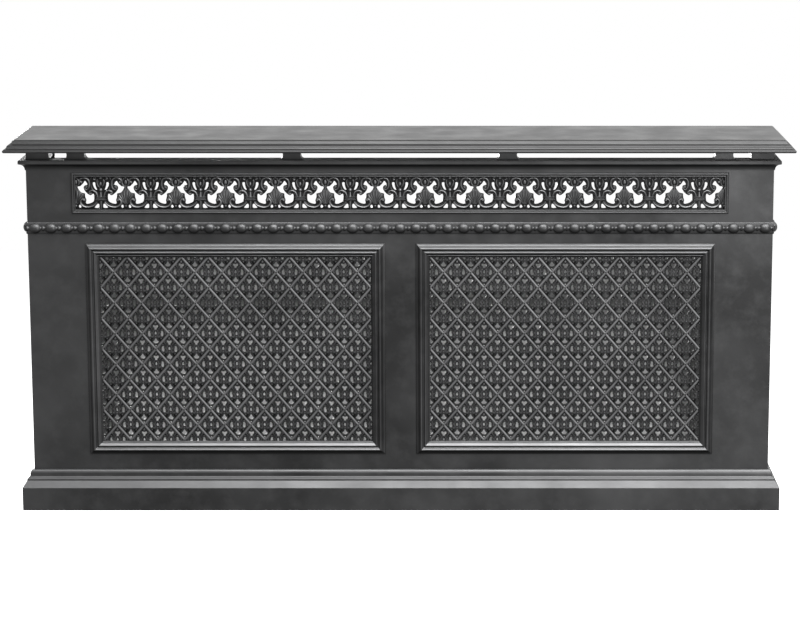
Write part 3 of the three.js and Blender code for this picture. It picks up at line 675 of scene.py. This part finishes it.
def beadRail(name, start, direction, outward, length, mitred):  # mitred is 1 at an end on a corner, else 0
    middle = (railLow.z + railHigh.z) / 2
    half = (railHigh.z - railLow.z) / 2
    upper = [(band["rise"], half - band["flat"]), (band["shoulderRise"], half - band["shoulder"]), (0, half)]
    profile = [(out, -z) for out, z in reversed(upper)] + upper

    def at(s, out, z):
        return (start[0] + direction[0] * s + outward[0] * out, start[1] + direction[1] * s + outward[1] * out,
                middle + z)

    rail = swept([[at((band["mitre"] - out) * mitred[0], out, z) for out, z in profile],
                  [at(length + (out - band["mitre"]) * mitred[1], out, z) for out, z in profile]])
    points, faces = beadString(length)
    string = [at(x, -y, z) for x, y, z in points], faces
    made(name + "_casting", joined([rail, string]), castIron, [name])


beadRail("bead_rail_front", (-bodyHalf, faceY), (1, 0), (0, -1), 2 * bodyHalf, (1, 1))
beadRail("bead_rail_left", (-bodyHalf, faceY), (0, 1), (-1, 0), wallY - faceY, (1, 0))
beadRail("bead_rail_right", (bodyHalf, faceY), (0, 1), (1, 0), wallY - faceY, (1, 0))
print("bead rails made")

# Slotted screws, two in each clamp bar

screw = {"radius": 4.2, "sides": 20, "disc": 1.2, "discEdge": 0.3, "height": 2.4, "slotFloor": 1.0, "slot": 0.55,
         "cheekSteps": 9, "cheekEdge": 0.35, "inset": 40.0}


def screwHead():  # facing -y
    disc = plate([ring(0, 0, screw["radius"], screw["sides"])], -screw["disc"], 0.0, screw["discEdge"], 1)
    start = math.asin(screw["slot"] / screw["radius"])
    angles = [start + k * (math.pi - 2 * start) / screw["cheekSteps"] for k in range(screw["cheekSteps"] + 1)]
    cheek = [(screw["radius"] * math.cos(angle), screw["radius"] * math.sin(angle)) for angle in angles]
    upper = plate([cheek], -screw["height"], -screw["slotFloor"], screw["cheekEdge"], 2)
    return joined([disc, upper, flipped(upper, z=-1)])


rearHead = flipped(screwHead(), y=-1)
for name in sorted(nodes):
    if "_bar_" not in name:
        continue
    low, high = [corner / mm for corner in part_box(name)]
    for end, x in (("a", low.x + screw["inset"]), ("b", high.x - screw["inset"])):
        made(f"{name}_screw_{end}", moved(rearHead, x, high.y, (low.z + high.z) / 2), zincSteel)
print("screws made")

# Floor, world, lamps and camera

stage = {"left": -14.0, "right": 14.0, "front": -9.0, "rear": 3.4, "colour": (0.8, 0.8, 0.8, 1), "roughness": 0.9}
floorMesh = bpy.data.meshes.new("floor")
floorMesh.from_pydata([(stage["left"], stage["front"], 0), (stage["right"], stage["front"], 0),
                       (stage["right"], stage["rear"], 0), (stage["left"], stage["rear"], 0)], [], [(0, 1, 2, 3)])
floor = bpy.data.objects.new("floor", floorMesh)
bpy.context.scene.collection.objects.link(floor)
floorMaterial = bpy.data.materials.new("pale_floor")
floorMaterial.use_nodes = True
floorShader = floorMaterial.node_tree.nodes["Principled BSDF"]
floorShader.inputs["Base Color"].default_value = stage["colour"]
floorShader.inputs["Roughness"].default_value = stage["roughness"]
floorShader.inputs["Specular IOR Level"].default_value = 0.0
floorMesh.materials.append(floorMaterial)
floor.visible_glossy = False
floor.visible_diffuse = False

studio = {"seen": (1, 1, 1, 1), "cast": (0.05, 0.05, 0.05, 1)}  # white to look at, and a faint light on the object
world = bpy.data.worlds.new("studio")
world.use_nodes = True
bpy.context.scene.world = world
sky = world.node_tree
ray = sky.nodes.new("ShaderNodeLightPath")
seen = sky.nodes.new("ShaderNodeMath")
seen.operation = "MAXIMUM"
seenThrough = sky.nodes.new("ShaderNodeMath")
seenThrough.operation = "MAXIMUM"
sky.links.new(ray.outputs["Is Camera Ray"], seen.inputs[0])
sky.links.new(ray.outputs["Is Glossy Ray"], seen.inputs[1])
sky.links.new(seen.outputs[0], seenThrough.inputs[0])
sky.links.new(ray.outputs["Is Transmission Ray"], seenThrough.inputs[1])
mix = sky.nodes.new("ShaderNodeMix")
mix.data_type = "RGBA"
sky.links.new(seenThrough.outputs[0], mix.inputs["Factor"])
mix.inputs["A"].default_value = studio["cast"]
mix.inputs["B"].default_value = studio["seen"]
sky.links.new(mix.outputs["Result"], sky.nodes["Background"].inputs["Color"])


def softbox(name, place, target, wide, high, watts, floorOnly=False):
    data = bpy.data.lights.new(name, "AREA")
    data.shape = "RECTANGLE"
    data.size, data.size_y = wide, high
    data.energy = watts
    lamp = bpy.data.objects.new(name, data)
    bpy.context.scene.collection.objects.link(lamp)
    lamp.visible_camera = False
    lamp.location = place
    lamp.rotation_euler = (Vector(target) - Vector(place)).to_track_quat("-Z", "Y").to_euler()
    lit = bpy.data.collections.new(name + "_lights")  # the floor has a lamp of its own
    lit.objects.link(floor)
    lit.collection_objects[0].light_linking.link_state = "INCLUDE" if floorOnly else "EXCLUDE"
    lamp.light_linking.receiver_collection = lit


softbox("key", (1.0, -2.6, 3.0), (0.1, -0.1, 0.5), 4.2, 1.6, 230)
softbox("overhead", (0.7, -0.9, 3.3), (0.1, -0.1, 0.5), 4.2, 1.7, 130)
softbox("right_fill", (2.6, -4.4, 0.9), (0.6, 0, 0.5), 1.8, 1.5, 170)
softbox("rear_fill", (-1.6, 4.2, 0.45), (0, 0, 0.4), 2.4, 0.6, 200)  # below the shelf, for the views from behind
softbox("floor_light", (0.3, -10, 3.4), (0, 2, 0), 0.6, 0.6, 9800, floorOnly=True)

view = {"x": 0.157, "distance": 5.8, "z": 1.747, "tilt": 9.36,  # metres and degrees
        "focal": 3.0175, "shiftX": -0.08, "shiftY": -0.15}  # over the picture's width
cameraData = bpy.data.cameras.new("camera")
cameraData.sensor_fit = "HORIZONTAL"
cameraData.sensor_width = 36.0
cameraData.lens = view["focal"] * cameraData.sensor_width
cameraData.shift_x = view["shiftX"]
cameraData.shift_y = view["shiftY"]
cameraData.clip_end = 100.0
camera = bpy.data.objects.new("camera", cameraData)
bpy.context.scene.collection.objects.link(camera)
camera.location = (view["x"], cadLow[1] - view["distance"], view["z"])
camera.rotation_euler = (math.radians(90 - view["tilt"]), 0, 0)
bpy.context.scene.camera = camera

bpy.context.scene.view_settings.view_transform = "Standard"
print("floor, lamps and camera set")
